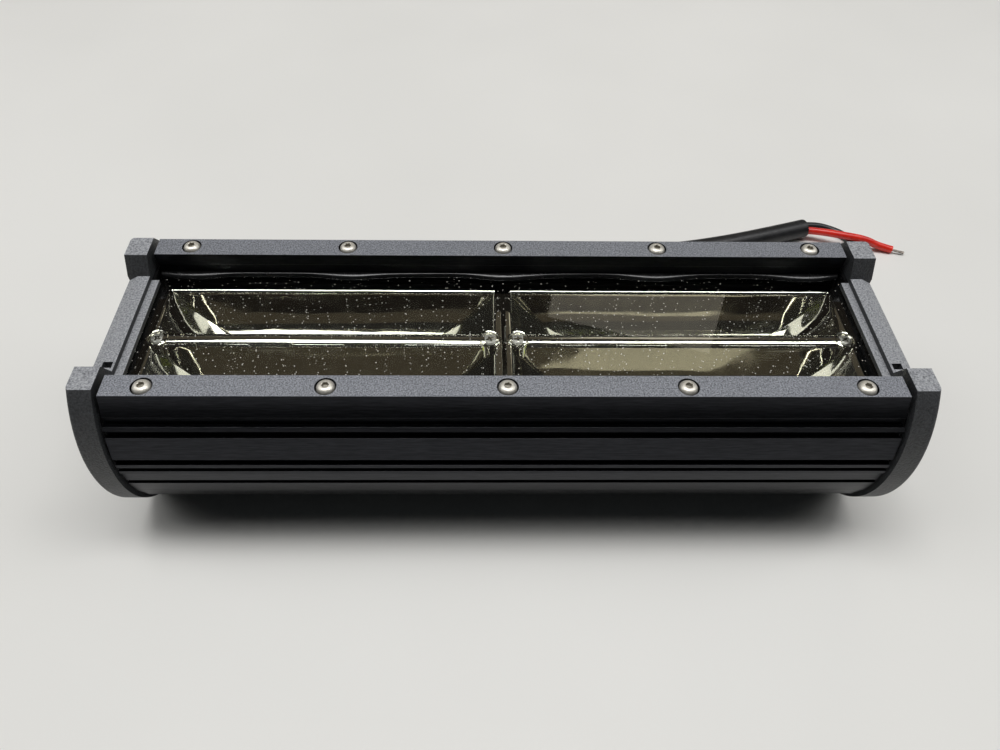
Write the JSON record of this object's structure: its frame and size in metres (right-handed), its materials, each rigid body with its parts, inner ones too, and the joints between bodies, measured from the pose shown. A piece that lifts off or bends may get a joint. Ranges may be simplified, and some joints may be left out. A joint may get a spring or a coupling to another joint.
{
  "type": "led light bar",
  "caption": "Straight work light bar: round ribbed aluminium housing, cast end caps, clear lens held by two screwed rails over trough reflectors, with a short cable.",
  "frame": {"origin": "middle of the flat back, on the surface that the bar stands on with its lens up", "axes": "+X along the bar, +Y towards the side that the cable leaves from, +Z out through the lens"},
  "size_m": [0.325, 0.1691, 0.0694],
  "materials": {
    "anodised_aluminium": "satin black anodised",
    "rail_aluminium": "satin black anodised",
    "powder_coat": "sandy black powder coat",
    "stainless": "bright",
    "clear_lens": "clear polycarbonate",
    "metallised_reflector": "vacuum metallised",
    "silicone": "matt",
    "board_white": "solder mask",
    "phosphor": "silicone dome",
    "thermal_pad": "matt",
    "board_green": "solder mask",
    "brass_nickel": "nickel plated",
    "black_plastic": "moulded",
    "terminal_green": "moulded",
    "cable_rubber": "satin",
    "red_pvc": "satin",
    "black_pvc": "satin",
    "copper": "tinned strands"
  },
  "bodies": {
    "root": {"bezel_rail_far": "rail_aluminium", "bezel_rail_near": "rail_aluminium", "bezel_screws_far": "stainless", "bezel_screws_near": "stainless", "board_screws": "stainless", "breather_vent": "black_plastic", "cable_inner": "cable_rubber", "cable_sheath": "cable_rubber", "cap_gasket_left": "silicone", "cap_gasket_right": "silicone", "cap_screws_left": "stainless", "cap_screws_right": "stainless", "driver_board": "board_green", "driver_capacitors": "black_plastic", "driver_chips": "black_plastic", "driver_inductor": "black_plastic", "driver_screws": "stainless", "driver_standoffs": "brass_nickel", "end_cap_left": "powder_coat", "end_cap_right": "powder_coat", "gland_body": "brass_nickel", "gland_lock_nut": "brass_nickel", "gland_nut": "brass_nickel", "gland_seal": "silicone", "housing": "anodised_aluminium", "led_board_left": "board_white", "led_board_right": "board_white", "led_chips_left": "phosphor", "led_chips_right": "phosphor", "led_lead_left": "black_pvc", "led_lead_right": "red_pvc", "lens": "clear_lens", "lens_gasket_lower": "silicone", "lens_gasket_upper": "silicone", "reflector_left": "metallised_reflector", "reflector_right": "metallised_reflector", "reflector_screws": "stainless", "strands_black": "copper", "strands_red": "copper", "supply_lead_black": "black_pvc", "supply_lead_red": "red_pvc", "terminal_block": "terminal_green", "thermal_pad_left": "thermal_pad", "thermal_pad_right": "thermal_pad", "wire_black": "black_pvc", "wire_red": "red_pvc"}
  },
  "joints": []
}
